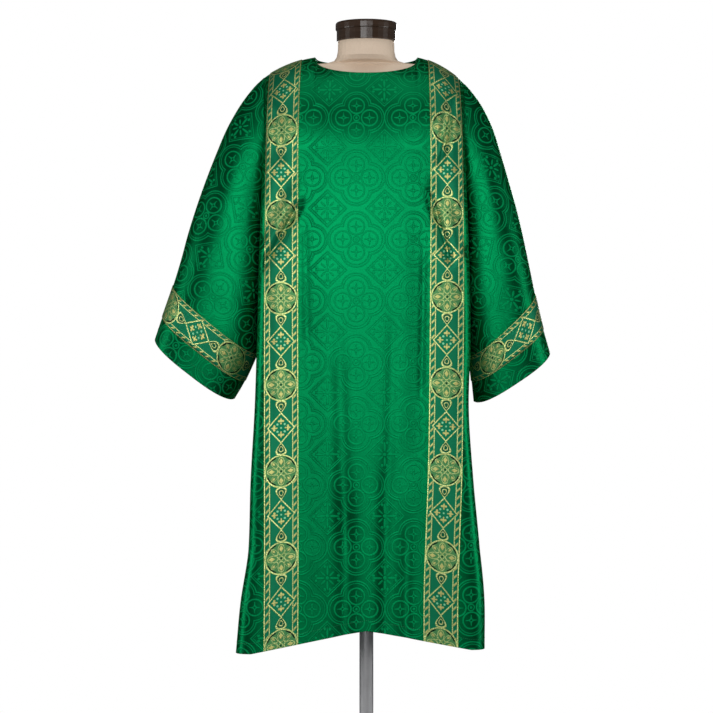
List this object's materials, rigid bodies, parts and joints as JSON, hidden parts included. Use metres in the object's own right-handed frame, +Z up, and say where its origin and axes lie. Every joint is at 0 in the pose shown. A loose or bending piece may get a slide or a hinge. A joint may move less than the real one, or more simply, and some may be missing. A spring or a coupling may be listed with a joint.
{
  "type": "dalmatic on a limbless dress form",
  "caption": "Knee-length green damask dalmatic with wide sleeves and gold galloon bands, hanging open-hemmed on a limbless dress form with a pole and round base",
  "frame": {"origin": "middle of the base's underside, on the floor", "axes": "+Z up, the garment's front faces -Y, +X is the viewer's right"},
  "size_m": [0.8473, 0.38, 1.5815],
  "materials": {
    "green_damask": "satin damask",
    "gold_galloon": "woven metallic thread",
    "form_linen": "plain linen",
    "dark_wood": "polished dark",
    "pole_steel": "satin"
  },
  "bodies": {
    "root": {"front_panel": "green_damask", "back_panel": "green_damask", "left_sleeve": "green_damask", "right_sleeve": "green_damask", "left_orphrey": "gold_galloon", "right_orphrey": "gold_galloon", "left_sleeve_band": "gold_galloon", "right_sleeve_band": "gold_galloon", "form_torso": "form_linen", "neck_cap": "dark_wood", "stand_base": "dark_wood", "stand_pole": "pole_steel"}
  },
  "joints": []
}
